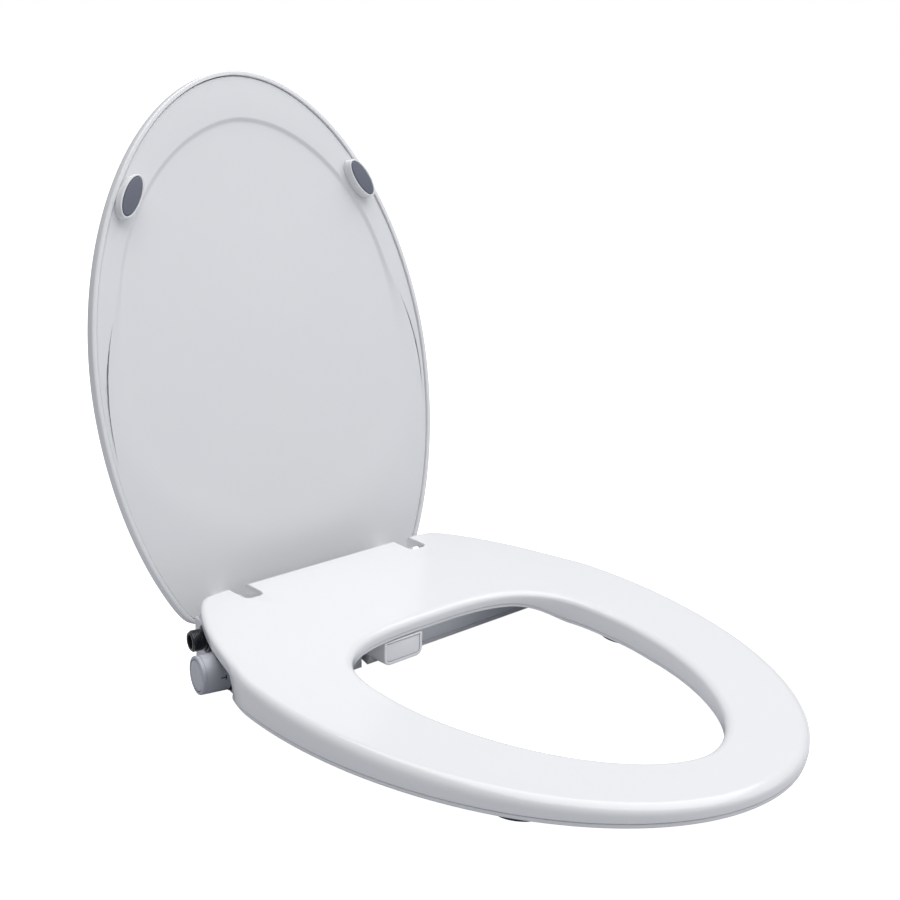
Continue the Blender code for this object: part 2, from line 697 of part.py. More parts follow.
def guard_outline(inset, y, low, high):
    """A tongue with two rounded lower corners."""
    radius = max(0.006 - inset, 0.002)
    half = GUARD_HALF_WIDTH - inset
    points = [(half, high)]
    for centre, start in ((half - radius, 0.0), (-half + radius, -pi / 2)):
        for k in range(6):
            angle = start - k * pi / 10
            points.append((centre + radius * cos(angle), low + radius + radius * sin(angle)))
    points.append((-half, high))
    return [Vector((GUARD_X + x, y, z)) for x, z in points]


def nozzle_guard(look, gate_look, pivot):
    """A shallow hood on the nose of the base, open below, with a swinging gate in its face."""
    hood = prism(guard_outline(0.0, GUARD_FACE_Y, GUARD_LOW_Z, GUARD_HIGH_Z), (0, GUARD_DEPTH, 0))
    guard = finish(hood, "nozzle_guard", look)
    inside = GUARD_HALF_WIDTH - 0.0025
    room = box((GUARD_X - inside, GUARD_FACE_Y + 0.0034, -0.002), (GUARD_X + inside, -0.090, 0.0274))
    cut(guard, room, "guard_inside")
    window = prism(guard_outline(0.0026, GUARD_FACE_Y - 0.005, GUARD_LOW_Z + 0.0026, 0.0288), (0, 0.012, 0))
    cut(guard, window, "guard_window")
    gate = prism(guard_outline(0.0030, GUARD_FACE_Y + 0.0004, GUARD_LOW_Z + 0.0030, 0.0280), (0, 0.0016, 0))
    finish(gate, "nozzle_gate", gate_look, pivot)


def hose(name, look, points, radius):
    curve = bpy.data.curves.new(name, "CURVE")
    curve.dimensions = "3D"
    curve.bevel_depth = radius
    curve.bevel_resolution = 2
    curve.use_fill_caps = True
    spline = curve.splines.new("POLY")
    steps = 14
    spline.points.add(steps)
    a, b, c, d = (Vector(p) for p in points)
    for k in range(steps + 1):
        t = k / steps
        p = (1 - t) ** 3 * a + 3 * (1 - t) ** 2 * t * b + 3 * (1 - t) * t * t * c + t ** 3 * d
        spline.points[k].co = (*p, 1.0)
    made = bpy.data.objects.new(name, curve)
    bpy.context.collection.objects.link(made)
    made.data.materials.append(look)


def hoses(look):
    """Water lines inside the base, from the valve to the back of each wand."""
    outward, knob, _ = knob_frame()
    outlet = knob - outward * 0.0400
    for x, name, lift in zip(NOZZLE_X, ("rear", "front"), (0.0035, -0.0035)):
        start = outlet + Vector((0.0, 0.0, lift))
        back = NOZZLE_TIP + Vector((x, 0, 0)) - nozzle_direction() * (NOZZLE_LENGTH + 0.0018)
        run = start - outward * 0.048 + Vector((0.0, 0.030, 2.5 * lift - 0.003))
        hose(f"{name}_hose", look, (start, run, back + Vector((0.0, 0.014, -0.004)), back), 0.0025)


def release_button(look, pivot):
    """The push button that frees the seat from its mounting plate."""
    x = panel_x(-0.046)
    bm = box((x - 0.0115, -0.0570, 0.0075), (x + 0.0030, -0.0350, 0.0185), 0.0012)
    finish(bm, "release_button", look, pivot)


def build():
    clear_scene()
    white = material("gloss white plastic", (0.86, 0.87, 0.89), 0.18)
    inner_white = material("white plastic, underside", (0.80, 0.81, 0.83), 0.28)
    panel_white = material("white plastic, base", (0.72, 0.73, 0.76), 0.32)
    grey = material("satin grey plastic", (0.42, 0.43, 0.47), 0.34)
    cap_grey = material("brushed grey cap", (0.50, 0.51, 0.54), 0.30)
    rubber = material("grey rubber", (0.16, 0.17, 0.20), 0.60)
    dark = material("black plastic", (0.03, 0.03, 0.035), 0.22)
    steel = material("stainless steel", (0.62, 0.62, 0.63), 0.28, 1.0)
    clear_hose = material("translucent hose", (0.70, 0.74, 0.78), 0.30)

    outward, knob, _ = knob_frame()
    direction = nozzle_direction()
    lid_pivot = pivot_empty("lid_pivot", PIVOT, LID_OPEN_ANGLE)
    seat_pivot = pivot_empty("seat_pivot", PIVOT)
    knob_pivot = pivot_empty("knob_pivot", knob + outward * 0.004)
    gate_pivot = pivot_empty("gate_pivot", Vector((GUARD_X, GUARD_FACE_Y + 0.0012, 0.0276)))
    button_pivot = pivot_empty("button_pivot", Vector((panel_x(-0.046), -0.046, 0.0130)))
    nozzle_pivots = [
        pivot_empty(f"{name}_nozzle_slide", NOZZLE_TIP + Vector((x, 0, 0)) - direction * 0.03)
        for x, name in zip(NOZZLE_X, ("rear", "front"))
    ]

    base_floor(panel_white, rubber)
    base_shell("base_upper_cover", panel_white, BASE_SPLIT_Z + GAP, BASE_TOP_Z, BASE_WALL + 0.001)
    lower = base_shell("base_lower_housing", panel_white, 0.0057, BASE_SPLIT_Z, 0.0)
    cut(lower, plate_pocket_cutter(), "housing_plate_pocket")
    cut(lower, button_way_cutter(), "housing_button_way")
    mounting_plate(panel_white, steel)
    side_panels(panel_white)
    inlet_pieces(dark, panel_white, steel)
    valve_and_knob(panel_white, dark, grey, cap_grey, knob_pivot)
    hinge_hardware(panel_white, steel, dark)
    nozzle_holder(inner_white)
    nozzles(inner_white, white, nozzle_pivots)
    nozzle_guard(white, inner_white, gate_pivot)
    hoses(clear_hose)
    release_button(grey, button_pivot)

    seat_top_shell(white, seat_pivot)
    seat_bottom_shell(inner_white, seat_pivot)
    seat_bumpers(rubber, seat_pivot)
    lid_outer_shell(white, lid_pivot)
    lid_inner_panel(inner_white, lid_pivot)
    lid_bumpers(white, rubber, lid_pivot)
    hinge_arms(inner_white, white, seat_pivot, lid_pivot)


build()
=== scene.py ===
from math import atan2, cos, pi, radians, sin, sqrt, tan

import bmesh
import bpy
from mathutils import Matrix, Vector


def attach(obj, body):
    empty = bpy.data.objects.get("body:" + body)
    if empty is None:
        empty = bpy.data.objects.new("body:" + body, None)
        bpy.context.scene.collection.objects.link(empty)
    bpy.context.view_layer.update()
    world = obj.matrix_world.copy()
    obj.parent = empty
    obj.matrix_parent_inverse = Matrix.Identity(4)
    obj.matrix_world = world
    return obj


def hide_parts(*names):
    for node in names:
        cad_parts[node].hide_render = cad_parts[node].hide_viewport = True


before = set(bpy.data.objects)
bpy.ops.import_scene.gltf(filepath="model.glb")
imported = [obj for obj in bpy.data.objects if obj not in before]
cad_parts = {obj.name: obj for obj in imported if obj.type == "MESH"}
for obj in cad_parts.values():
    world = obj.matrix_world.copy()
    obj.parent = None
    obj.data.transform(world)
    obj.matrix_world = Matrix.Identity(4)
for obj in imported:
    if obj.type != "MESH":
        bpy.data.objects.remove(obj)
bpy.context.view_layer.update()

# ---------------------------------------------------------------------------
# Studio: a seamless pale floor, a wide softbox overhead and a dim, cool room,
# with the camera standing in front of the seat on the knob's side.
EYE = Vector((-0.74472, -0.93817, 0.50075))
YAW, PITCH, ROLL = radians(43.248), radians(16.357), radians(1.006)
LENS = 60.367
forward = Vector((cos(PITCH) * sin(YAW), cos(PITCH) * cos(YAW), -sin(PITCH)))
level_right = Vector((cos(YAW), -sin(YAW), 0.0))
level_up = level_right.cross(forward)
right = level_right * cos(ROLL) + level_up * sin(ROLL)
up = level_up * cos(ROLL) - level_right * sin(ROLL)
camera = bpy.data.objects.new("camera", bpy.data.cameras.new("camera"))
camera.data.lens = LENS
camera.matrix_world = Matrix.Translation(EYE) @ Matrix((right, up, -forward)).transposed().to_4x4()
bpy.context.scene.collection.objects.link(camera)
bpy.context.scene.camera = camera

room = bpy.data.worlds.new("dim cool room")
room.use_nodes = True
room_light = room.node_tree.nodes["Background"]
room_light.inputs["Color"].default_value = (0.92, 0.945, 1.0, 1.0)
room_light.inputs["Strength"].default_value = 0.31
seen_room = room.node_tree.nodes.new("ShaderNodeBackground")
seen_room.inputs["Color"].default_value = (1.0, 1.0, 1.0, 1.0)
room_rays = room.node_tree.nodes.new("ShaderNodeLightPath")
room_mix = room.node_tree.nodes.new("ShaderNodeMixShader")
room.node_tree.links.new(room_rays.outputs["Is Camera Ray"], room_mix.inputs["Fac"])
room.node_tree.links.new(room_light.outputs["Background"], room_mix.inputs[1])
room.node_tree.links.new(seen_room.outputs["Background"], room_mix.inputs[2])
room.node_tree.links.new(room_mix.outputs["Shader"], room.node_tree.nodes["World Output"].inputs["Surface"])
bpy.context.scene.world = room
bpy.context.scene.view_settings.view_transform = "Standard"


def softbox(name, place, aim, size, power, colour=(1.0, 1.0, 1.0)):
    lamp = bpy.data.lights.new(name, "AREA")
    lamp.shape = "RECTANGLE"
    lamp.size, lamp.size_y = size
    lamp.energy = power
    lamp.color = colour
    holder = bpy.data.objects.new(name, lamp)
    holder.location = place
    holder.rotation_euler = (Vector(aim) - Vector(place)).to_track_quat("-Z", "Y").to_euler()
    bpy.context.scene.collection.objects.link(holder)


softbox("overhead", (0.25, -0.35, 1.9), (0.0, -0.2, 0.0), (2.4, 2.4), 45.0)
softbox("front_right", (1.3, -1.7, 1.1), (0.0, -0.1, 0.2), (1.2, 1.2), 3.8)

floor_look = bpy.data.materials.new("pale floor")
floor_look.use_nodes = True
floor_shader = floor_look.node_tree.nodes["Principled BSDF"]
floor_shader.inputs["Roughness"].default_value = 0.9
floor_shader.inputs["Base Color"].default_value = (0.62, 0.63, 0.66, 1.0)
floor_shader.inputs["Emission Color"].default_value = (1.0, 1.0, 1.0, 1.0)
floor_rays = floor_look.node_tree.nodes.new("ShaderNodeLightPath")
floor_look.node_tree.links.new(floor_rays.outputs["Is Camera Ray"],
                               floor_shader.inputs["Emission Strength"])
bm = bmesh.new()
bmesh.ops.create_grid(bm, x_segments=1, y_segments=1, size=9.0,
                      matrix=Matrix.Translation((0.0, 0.0, -0.0004)))
floor_mesh = bpy.data.meshes.new("floor")
bm.to_mesh(floor_mesh)
bm.free()
floor = bpy.data.objects.new("floor", floor_mesh)
floor.data.materials.append(floor_look)
bpy.context.scene.collection.objects.link(floor)

# ---------------------------------------------------------------------------
# Seat ring, upper shell: one piece of glossy moulded plastic that covers the hinges as a deck,
# with a soft outer edge, a skirt that is cut away beside the knob, and two slots for the lid's arms.
PIVOT = Vector((0.0, 0.0, 0.028))
RING_HALF_WIDTH, RING_FRONT, RING_REAR, RING_CENTRE_Y = 0.1858, 0.2710, 0.2631, -0.182
DECK_REAR_Y = 0.0098
HOLE_HALF_WIDTH, HOLE_FRONT, HOLE_REAR, HOLE_CENTRE_Y = 0.113, 0.1815, 0.093, -0.2185
SEAT_TOP_Z, SEAT_SLOPE = 0.048, tan(radians(2.3))
SKIRT_LOW_Z, LOWER_Z, DECK_SKIRT = 0.020, 0.016, 0.0095
SHELL_WALL, SHELL_PLATE, INNER_SEAM = 0.0036, 0.0055, 0.0035


def smoothstep(low, high, value):
    t = min(1.0, max(0.0, (value - low) / (high - low)))
    return t * t * (3.0 - 2.0 * t)


def oval(angle, half_x, half_y, power=2.0):
    return (abs(cos(angle) / half_x) ** power + abs(sin(angle) / half_y) ** power) ** (-1.0 / power)


def squared_off(radius, angle, limit, sharpness):
    """An outline cut straight across at the rear, rounded where it turns the corner."""
    if sin(angle) < 0.05:
        return radius
    return (radius ** -sharpness + (limit / sin(angle)) ** -sharpness) ** (-1.0 / sharpness)


def ring_edge(angle):
    """The ring's plan: two half ovals, drawn in a little beside the deck."""
    reach = oval(angle, RING_HALF_WIDTH, RING_REAR if sin(angle) > 0 else RING_FRONT)
    return reach - 0.0045 * smoothstep(-0.135, -0.085, RING_CENTRE_Y + reach * sin(angle))


def deck_edge(angle):
    return squared_off(ring_edge(angle), angle, DECK_REAR_Y - RING_CENTRE_Y, 45.0)


def hole_edge(angle):
    if sin(angle) > 0:
        return oval(angle, HOLE_HALF_WIDTH, HOLE_REAR, 3.2)
    return oval(angle, HOLE_HALF_WIDTH, HOLE_FRONT, 1.82)


def crowd_stations(edges, count):
    """Angles round the piece, closer together where one of its edges turns sharply."""
    fine = 2880
    weights = []
    for k in range(fine):
        angles = [2 * pi * (k + step) / fine - pi / 2 for step in (-1, 0, 1)]
        weight = 0.0
        for edge in edges:
            a, b, c = (Vector((edge(t) * cos(t), edge(t) * sin(t))) for t in angles)
            weight += (c - b).length + 0.05 * (c - b).angle(b - a)
        weights.append(weight)
    stations, passed, step = [], 0.0, sum(weights) / count
    for k, weight in enumerate(weights):
        if passed >= step * len(stations) - 1e-9:
            stations.append(2 * pi * k / fine - pi / 2)
        passed += weight
    return stations


def inward(edge, centre_y, angle, inset):
    """The edge's point at this angle, moved in across the edge by the inset."""
    step = 1e-4
    radius = edge(angle)
    lean = (edge(angle + step) - edge(angle - step)) / (2 * step * radius)
    reach = radius - inset * sqrt(1.0 + lean * lean)
    return Vector((reach * cos(angle), centre_y + reach * sin(angle), 0.0))


def rounding(reach, drop, steps):
    """Inset and depth down a rounded edge, from the side up on to the flat."""
    return [(reach * (1 - cos(pi / 2 * k / steps)), drop * (1 - sin(pi / 2 * k / steps)))
            for k in range(steps + 1)]


def skin(loops, ring=False):
    """Extrudes a closed edge loop from station to station; the ends are capped unless it is a ring."""
    bm = bmesh.new()
    verts = [bm.verts.new(p) for p in loops[0]]
    edges = [bm.edges.new(pair) for pair in zip(verts, verts[1:] + verts[:1])]
    if not ring:
        bmesh.ops.contextual_create(bm, geom=edges)
    for points in loops[1:] + (loops[:1] if ring else []):
        made = bmesh.ops.extrude_edge_only(bm, edges=edges)["geom"]
        fresh = {item for item in made if isinstance(item, bmesh.types.BMVert)}
        moved = []
        for vert, point in zip(verts, points):
            twin = next(e.other_vert(vert) for e in vert.link_edges if e.other_vert(vert) in fresh)
            twin.co = point
            moved.append(twin)
        verts = moved
        edges = [bm.edges.get(pair) for pair in zip(verts, verts[1:] + verts[:1])]
    if ring:
        bmesh.ops.remove_doubles(bm, verts=bm.verts, dist=1e-6)
    else:
        bmesh.ops.contextual_create(bm, geom=edges)
    return bm


def outward_faces(bm):
    bmesh.ops.recalc_face_normals(bm, faces=bm.faces)
    if bm.calc_volume(signed=True) < 0:
        bmesh.ops.reverse_faces(bm, faces=bm.faces)


def finished(bm, name, body, look, replaced=(), crease=35.0):
    """Turns the mesh outwards, gives the piece its finish, puts it on its body and hides the parts it replaces.
    """
    outward_faces(bm)
    mesh = bpy.data.meshes.new(name)
    bm.to_mesh(mesh)
    bm.free()
    mesh.shade_smooth()
    mesh.set_sharp_from_angle(angle=radians(crease))
    made = bpy.data.objects.new(name, mesh)
    bpy.context.scene.collection.objects.link(made)
    made.data.materials.append(look)
    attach(made, body)
    if replaced:
        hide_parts(*replaced)
    return made


def carve(made, tool_mesh, crease=35.0):
    """Cuts a closed shape out of a piece and keeps the result as its mesh."""
    outward_faces(tool_mesh)
    mesh = bpy.data.meshes.new("tool")
    tool_mesh.to_mesh(mesh)
    tool_mesh.free()
    tool = bpy.data.objects.new("tool", mesh)
    bpy.context.scene.collection.objects.link(tool)
    cut = made.modifiers.new("cut", "BOOLEAN")
    cut.operation, cut.solver, cut.object = "DIFFERENCE", "EXACT", tool
    graph = bpy.context.evaluated_depsgraph_get()
    result = bpy.data.meshes.new_from_object(made.evaluated_get(graph))
    made.modifiers.clear()
    made.data = result
    result.shade_smooth()
    result.set_sharp_from_angle(angle=radians(crease))
    bpy.data.objects.remove(tool)


def moulding_grain():
    """Group for moulded plastic: slow sheen changes, fine orange peel and faint handling marks."""
    group = bpy.data.node_groups.new("moulding grain", "ShaderNodeTree")
    for label, start in (("Roughness", 0.15), ("Sheen Change", 0.03), ("Peel", 0.5), ("Peel Scale", 600.0)):
        group.interface.new_socket(label, in_out="INPUT",
                                   socket_type="NodeSocketFloat").default_value = start
    for label, kind in (("Roughness", "Float"), ("Height", "Float"), ("Tone", "Float")):
        group.interface.new_socket(label, in_out="OUTPUT", socket_type=f"NodeSocket{kind}")
    nodes, links = group.nodes, group.links
    source, result = nodes.new("NodeGroupInput"), nodes.new("NodeGroupOutput")
    place = nodes.new("ShaderNodeTexCoord")

    def noise(scale, detail):
        made = nodes.new("ShaderNodeTexNoise")
        made.inputs["Scale"].default_value = scale
        made.inputs["Detail"].default_value = detail
        links.new(place.outputs["Object"], made.inputs["Vector"])
        return made

    def maths(operation, a, b):
        made = nodes.new("ShaderNodeMath")
        made.operation = operation
        for k, value in enumerate((a, b)):
            if isinstance(value, (int, float)):
                made.inputs[k].default_value = value
            else:
                links.new(value, made.inputs[k])
        return made.outputs[0]
    flow = noise(9.0, 3.0)
    handling = noise(55.0, 6.0)
    peel = noise(600.0, 2.0)
    links.new(source.outputs["Peel Scale"], peel.inputs["Scale"])
    drift = maths("SUBTRACT", maths("ADD", flow.outputs["Fac"], handling.outputs["Fac"]), 1.0)
    links.new(maths("ADD", source.outputs["Roughness"],
                    maths("MULTIPLY", drift, source.outputs["Sheen Change"])),
              result.inputs["Roughness"])
    links.new(maths("MULTIPLY", peel.outputs["Fac"], source.outputs["Peel"]), result.inputs["Height"])
    links.new(flow.outputs["Fac"], result.inputs["Tone"])
    return group


GRAIN = moulding_grain()


def moulded(name, colour, shade, roughness, change, peel, scale, depth, metallic=0.0):
    """A finish that drifts between two close colours, with its grain as bump."""
    look = bpy.data.materials.new(name)
    look.use_nodes = True
    nodes, links = look.node_tree.nodes, look.node_tree.links
    shader = nodes["Principled BSDF"]
    shader.inputs["Metallic"].default_value = metallic
    grain = nodes.new("ShaderNodeGroup")
    grain.node_tree = GRAIN
    for label, value in (("Roughness", roughness), ("Sheen Change", change), ("Peel", peel),
                         ("Peel Scale", scale)):
        grain.inputs[label].default_value = value
    tone = nodes.new("ShaderNodeMix")
    tone.data_type = "RGBA"
    tone.inputs["A"].default_value = (*colour, 1.0)
    tone.inputs["B"].default_value = (*shade, 1.0)
    links.new(grain.outputs["Tone"], tone.inputs["Factor"])
    links.new(tone.outputs["Result"], shader.inputs["Base Color"])
    links.new(grain.outputs["Roughness"], shader.inputs["Roughness"])
    bump = nodes.new("ShaderNodeBump")
    bump.inputs["Strength"].default_value = depth
    bump.inputs["Distance"].default_value = 0.0002
    links.new(grain.outputs["Height"], bump.inputs["Height"])
    links.new(bump.outputs["Normal"], shader.inputs["Normal"])
    return look


GLOSS_WHITE = moulded("gloss white plastic", (0.80, 0.804, 0.816), (0.785, 0.79, 0.804),
                      0.15, 0.015, 0.6, 420.0, 0.04)


def seat_top(y):
    return SEAT_TOP_Z + y * SEAT_SLOPE


def skirt_low(y):
    return SKIRT_LOW_Z + smoothstep(-0.112, -0.104, y) * (seat_top(y) - DECK_SKIRT - SKIRT_LOW_Z)


def inner_low(y):
    return max(seat_top(y) - 0.0215 + smoothstep(-0.175, -0.133, y) * 0.009, LOWER_Z)


def edge_softness(y):
    """The outer edge is tight at the deck and grows rounder towards the front."""
    return 0.40 + 0.32 * smoothstep(-0.02, -0.30, y)


def ring_station(edge, stations, rows):
    """One loop for each row of the section: how far across, inset from that edge, and height."""
    loops = []
    for across, inset, height in rows:
        loop = []
        for angle in stations:
            rim = inward(edge, RING_CENTRE_Y, angle, 0.0)
            reach = inset(rim.y) if callable(inset) else inset
            outer = inward(edge, RING_CENTRE_Y, angle, reach)
            inner = inward(hole_edge, HOLE_CENTRE_Y, angle, -reach)
            point = outer.lerp(inner, across)
            point.z = height(point)
            loop.append(point)
        loops.append(loop)
    return loops


def over_skirt(rise):
    return lambda p: skirt_low(p.y) + rise


def under_top(depth):
    return lambda p: seat_top(p.y) - depth


def over_inner_seam(rise):
    return lambda p: inner_low(p.y) + INNER_SEAM + rise


def outer_side(depth):
    """Depth below the top of the outer edge, less where the skirt is shallow."""
    def height(p):
        room_left = min(1.0, (seat_top(p.y) - skirt_low(p.y)) / 0.016)
        return seat_top(p.y) - depth * room_left * edge_softness(p.y)
    return height


seat_stations = crowd_stations((deck_edge, hole_edge), 260)
rows = [(0, 0.0010, over_skirt(0.0)), (0, 0.0004, over_skirt(0.0002)), (0, 0.0001, over_skirt(0.0005)),
        (0, 0.0, over_skirt(0.0010))]
for reach, drop in rounding(0.0125, 0.0125, 12):
    rows.append((0, lambda y, reach=reach: reach * edge_softness(y), outer_side(drop)))
rows += [(0, 0.0140, under_top(0.0)), (0.35, 0.0, under_top(0.0)), (0.7, 0.0, under_top(0.0)),
         (1, 0.0085, under_top(0.0))]
rows += [(1, inset, under_top(drop)) for inset, drop in reversed(rounding(0.0070, 0.0050, 9))]
rows += [(1, 0.0, over_inner_seam(0.0006)), (1, 0.0002, over_inner_seam(0.0001)),
         (1, 0.0006, over_inner_seam(0.0)),
         (1, SHELL_WALL, over_inner_seam(0.0)), (1, SHELL_WALL, under_top(SHELL_PLATE + 0.0010)),
         (1, SHELL_WALL + 0.003, under_top(SHELL_PLATE)), (0, SHELL_WALL + 0.010, under_top(SHELL_PLATE)),
         (0, SHELL_WALL + 0.0036, under_top(SHELL_PLATE + 0.0025)),
         (0, SHELL_WALL + 0.0004, over_skirt(0.0))]
upper_shell = finished(skin(ring_station(deck_edge, seat_stations, rows), ring=True), "seat_upper_shell",
                       "seat", GLOSS_WHITE, ("seat_top_shell",))


def slot_outline(side, grow, depth):
    """A slot open to the rear with rounded front corners, at this depth under the top."""
    near, far, front, corner = 0.0785 - grow, 0.0965 + grow, -0.0165 - grow, 0.006 + grow
    points = [(near, 0.05)]
    for centre_x, start in ((near + corner, pi), (far - corner, 1.5 * pi)):
        for k in range(11):
            angle = start + k * pi / 20
            points.append((centre_x + corner * cos(angle), front + corner + corner * sin(angle)))
    points.append((far, 0.05))
    return [Vector((side * x, y, seat_top(y) - depth)) for x, y in points]


for side in (-1, 1):
    lip = 0.0013
    loops = [slot_outline(side, 0.0, 0.020)]
    loops += [slot_outline(side, grow, depth) for grow, depth in rounding(lip, lip, 6)]
    loops += [slot_outline(side, lip * 1.6, -0.0006), slot_outline(side, lip * 1.6, -0.010)]
    carve(upper_shell, skin(loops))

# ---------------------------------------------------------------------------
# Seat ring, lower shell: the closing pan welded inside the skirt, which shows as a thin band
# under the seam all round and carries the rubber feet.
LOWER_REAR_Y, LOWER_REAR_Z = -0.101, 0.0308
PAN_FLOOR = 0.003
UNDERSIDE_WHITE = moulded("white plastic, underside", (0.775, 0.78, 0.795), (0.76, 0.766, 0.782),
                          0.24, 0.02, 0.9, 500.0, 0.05)


def pan_edge(angle):
    return squared_off(ring_edge(angle), angle, LOWER_REAR_Y - RING_CENTRE_Y, 45.0)


def over_pan(rise):
    def height(p):
        raised = smoothstep(-0.156, -0.126, p.y) * smoothstep(0.152, 0.130, abs(p.x))
        return min(LOWER_Z + raised * (LOWER_REAR_Z - LOWER_Z) + rise, seat_top(p.y) - 0.0078)
    return height


def over_inner_low(rise):
    return lambda p: inner_low(p.y) + rise


lip, wall = SKIRT_LOW_Z - LOWER_Z - 0.0004, SHELL_WALL + 0.0012
pan_stations = crowd_stations((pan_edge, hole_edge), 240)
rows = [(0, 0.0030, over_pan(0.0)), (0, 0.0017, over_pan(0.0003)), (0, 0.0010, over_pan(0.0009)),
        (0, 0.0007, over_pan(0.0017)), (0, 0.0007, over_pan(lip - 0.0003)), (0, 0.0010, over_pan(lip)),
        (0, wall, over_pan(lip)), (0, wall, over_pan(lip + 0.0045)),
        (0, wall + 0.0026, over_pan(lip + 0.0045)),
        (0, wall + 0.0030, over_pan(PAN_FLOOR)), (0.5, 0.0, over_pan(PAN_FLOOR)),
        (1, wall + 0.0030, over_inner_low(0.0026)), (1, wall + 0.0026, over_inner_seam(0.0014)),
        (1, wall, over_inner_seam(0.0014)), (1, wall, over_inner_seam(-0.0004)),
        (1, 0.0009, over_inner_seam(-0.0004)), (1, 0.0006, over_inner_seam(-0.0007)),
        (1, 0.0006, over_inner_low(0.0014)), (1, 0.0010, over_inner_low(0.0006)),
        (1, 0.0024, over_inner_low(0.0)), (0.7, 0.0, over_pan(0.0)), (0.3, 0.0, over_pan(0.0))]
finished(skin(ring_station(pan_edge, pan_stations, rows), ring=True), "seat_lower_shell",
         "seat", UNDERSIDE_WHITE, ("seat_bottom_shell",))

# ---------------------------------------------------------------------------
# Lid, outer shell: a thin gloss cover with a turned-down lip, shaped closed and then swung open
# about the hinge axis, where it leans back a little past upright.
LID_REST = Matrix.Translation(PIVOT) @ Matrix.Rotation(radians(-102.2), 4, "X")
LID_HALF_WIDTH, LID_FRONT, LID_REAR, LID_REAR_Y = 0.1708, 0.2543, 0.262, 0.009
LID_RIM, LID_FACE = 0.032, 0.0335
OVAL_HALF_WIDTH, OVAL_FRONT, OVAL_REAR, OVAL_CENTRE_Y = 0.141, 0.166, 0.150, -0.232


def lid_edge(angle):
    reach, power = (LID_REAR, 2.0) if sin(angle) > 0 else (LID_FRONT, 1.93)
    return squared_off(oval(angle, LID_HALF_WIDTH, reach, power), angle, LID_REAR_Y - RING_CENTRE_Y, 40.0)


def oval_edge(angle):
    """The dished oval: rounder towards the hinge, slightly pointed at the front."""
    if sin(angle) > 0:
        return oval(angle, OVAL_HALF_WIDTH, OVAL_REAR)
    return oval(angle, OVAL_HALF_WIDTH, OVAL_FRONT, 1.86)


lid_stations = crowd_stations((lid_edge,), 200)


def lid_loop(inset, height, edge=lid_edge, centre_y=RING_CENTRE_Y):
    loop = [inward(edge, centre_y, angle, inset) for angle in lid_stations]
    return [p + Vector((0.0, 0.0, height)) for p in loop]


def lid_ring(size, height):
    centre = Vector((0.0, RING_CENTRE_Y, 0.0))
    return [centre + (p - centre) * size + Vector((0.0, 0.0, height)) for p in lid_loop(0.0, 0.0)]


def dome(size):
    return LID_RIM + 0.0142 + 0.0037 * (1.0 - (size / 0.94) ** 2.2)


loops = [lid_ring(0.1, LID_RIM + 0.0150), lid_ring(0.75, LID_RIM + 0.0140),
         lid_loop(0.0100, LID_RIM + 0.0115),
         lid_loop(0.0045, LID_RIM + 0.0085), lid_loop(0.0038, LID_RIM + 0.0004), lid_loop(0.0034, LID_RIM)]
loops += [lid_loop(inset, LID_RIM + drop) for inset, drop in reversed(rounding(0.0014, 0.0014, 5))]
loops += [lid_loop(inset, LID_RIM + 0.0142 - drop) for inset, drop in rounding(0.0105, 0.0080, 10)]
loops += [lid_ring(size, dome(size)) for size in (0.93, 0.88, 0.78, 0.64, 0.48, 0.32, 0.16, 0.04)]
bm = skin(loops)
bm.transform(LID_REST)
finished(bm, "lid_cover", "lid", GLOSS_WHITE, ("lid_outer_shell",))

# ---------------------------------------------------------------------------
# Lid, inner panel: snapped inside the lip with a hairline gap, flat round the border and
# dished by two millimetres into a large oval.
dish = (oval_edge, OVAL_CENTRE_Y)


def dish_loop(t):
    """Across the dish's edge: a crisp step in front that runs out to nothing towards the hinge."""
    loop = []
    for angle in lid_stations:
        spread = 0.0045 + 0.042 * smoothstep(-0.30, 0.70, sin(angle))
        point = inward(oval_edge, OVAL_CENTRE_Y, angle, 0.0040 - spread * t)
        point.z = LID_FACE + 0.0019 * (1.0 - smoothstep(0.0, 1.0, t))
        loop.append(point)
    return loop


# Known fault: the finished lining crosses itself in 44 faces, seen as dark slivers at both sides.
loops = [lid_loop(0.120, LID_FACE + 0.0020, *dish), lid_loop(0.0055, LID_FACE + 0.0020, *dish)]
for k in range(13):
    loops.append(dish_loop(k / 12))
loops += [lid_loop(0.0065, LID_FACE)]
loops += [lid_loop(0.0044 + 0.0010 - inset, LID_FACE + drop)
          for inset, drop in ((0.0, 0.0), (0.0005, 0.00015), (0.0009, 0.0005), (0.0010, 0.0010))]
loops += [lid_loop(0.0044, LID_FACE + 0.0024), lid_loop(-0.003, LID_FACE + 0.0024, *dish),
          lid_loop(0.007, LID_FACE + 0.0043, *dish), lid_loop(0.120, LID_FACE + 0.0044, *dish)]
bm = skin(loops)
bm.transform(LID_REST)
finished(bm, "lid_lining", "lid", UNDERSIDE_WHITE, ("lid_inner_panel",))

# ---------------------------------------------------------------------------
# Rubber feet: four oval bumpers pressed into the lower shell, which stand on the bowl.
# They are matt, faintly gritty grey rubber with a rounded lower edge.
RUBBER = moulded("grey rubber", (0.125, 0.135, 0.175), (0.155, 0.165, 0.205), 0.50, 0.14, 1.0, 900.0, 0.30)
FOOT_LENGTH, FOOT_WIDTH = 0.014, 0.007
FOOT_PLACES = {"front_right": (-0.116, -0.338), "front_left": (0.116, -0.338),
               "rear_right": (-0.150, -0.190), "rear_left": (0.150, -0.190)}


def oval_loop(centre, half_x, half_y, turn, count=48):
    loop = []
    for k in range(count):
        angle = 2 * pi * k / count
        x, y = half_x * cos(angle), half_y * sin(angle)
        loop.append(centre + Vector((x * cos(turn) - y * sin(turn), x * sin(turn) + y * cos(turn), 0.0)))
    return loop


